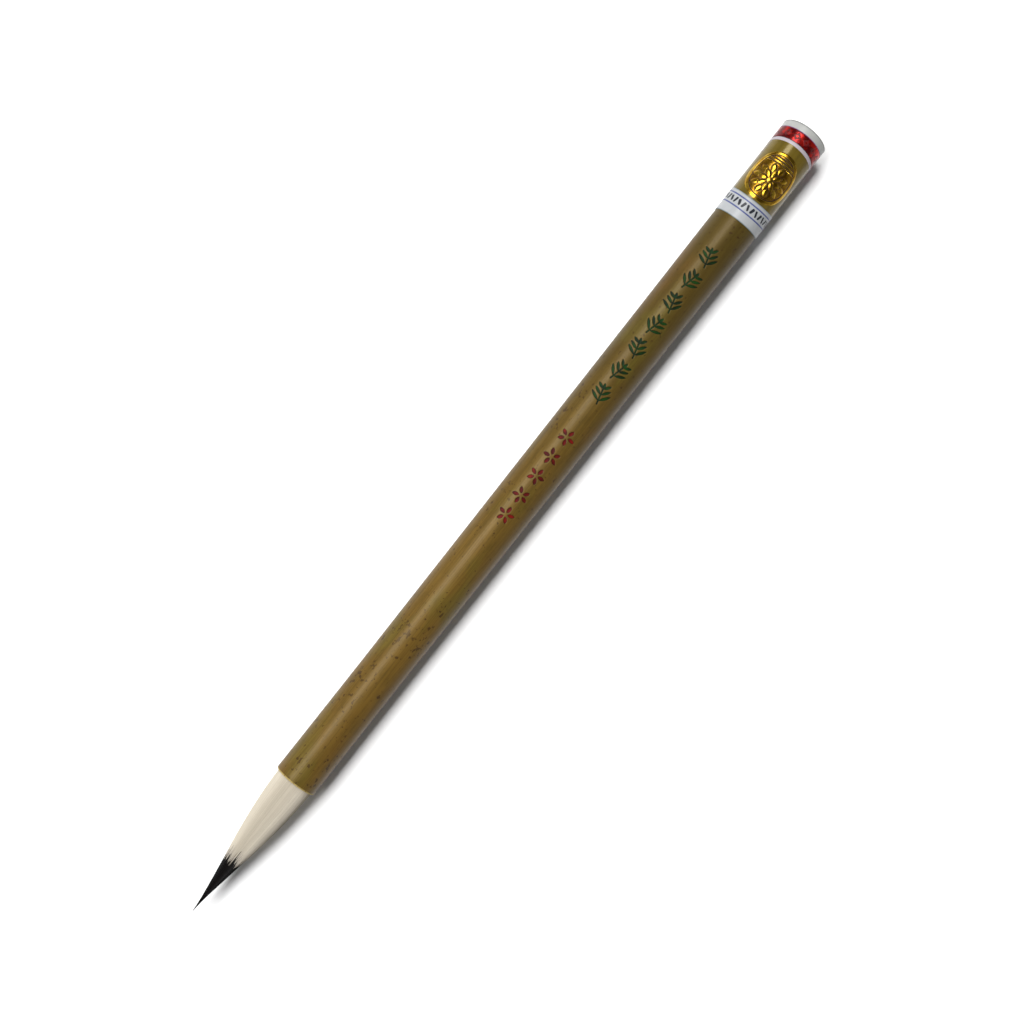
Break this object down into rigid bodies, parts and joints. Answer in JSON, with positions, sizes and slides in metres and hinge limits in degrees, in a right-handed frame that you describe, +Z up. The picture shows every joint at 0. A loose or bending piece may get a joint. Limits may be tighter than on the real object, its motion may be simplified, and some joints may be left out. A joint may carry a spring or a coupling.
{
  "type": "calligraphy brush",
  "caption": "Writing brush with a bamboo handle, a pointed tuft of white hair with a black tip that flexes, engraved painted motifs and a printed end label.",
  "frame": {"origin": "under the middle of the brush, on the surface it lies on", "axes": "+X from the hair point along the handle to the tail, +Z up, the engraved side up; Y across the brush"},
  "size_m": [0.227, 0.0118, 0.0118],
  "materials": {
    "bamboo": "lacquered bamboo, fine lengthwise fibres, brown specks",
    "plug_wood": "bare wood end grain",
    "green_paint": "dull green paint in the engraving",
    "red_paint": "dull dark red paint in the engraving",
    "clear_film": "clear shrink film, glossy",
    "white_print": "white print on film",
    "blue_print": "thin dark blue print",
    "black_print": "black print",
    "gold_foil": "embossed bright gold foil",
    "red_foil": "metallic red foil with a darker pattern",
    "grey_print": "pale grey white print on film",
    "trim_print": "dark edge of the film",
    "glue": "set glue",
    "rosin": "melted rosin",
    "thread": "wound silk thread",
    "dark_hair": "fine glossy black-violet point hair",
    "lining_hair": "shorter grey-brown hair",
    "white_hair": "fine cream-white goat hair"
  },
  "bodies": {
    "handle": {"bamboo_handle": "bamboo", "tail_plug": "plug_wood", "green_inlay": "green_paint", "red_inlay": "red_paint", "label_film": "clear_film", "label_white_band": "white_print", "label_blue_lines": "blue_print", "label_pattern": "black_print", "gold_foil_ornament": "gold_foil", "white_line_ring": "white_print", "red_foil_band": "red_foil", "end_band": "grey_print", "end_trim": "trim_print", "socket_glue": "glue", "rosin_plug": "rosin", "root_binding": "thread", "core_root": "dark_hair", "lining_root": "lining_hair", "mantle_root": "white_hair"},
    "tuft": {"core_hair": "dark_hair", "lining_hair": "lining_hair", "mantle_hair": "white_hair"}
  },
  "joints": [
    {"name": "tuft_bend", "type": "hinge", "parent": "handle", "child": "tuft", "pos_m": [-0.0824, 0, 0.00591], "axis": [0, 0, 1], "range_deg": [-40, 40], "stiffness_Nm_per_rad": 0.008}
  ]
}
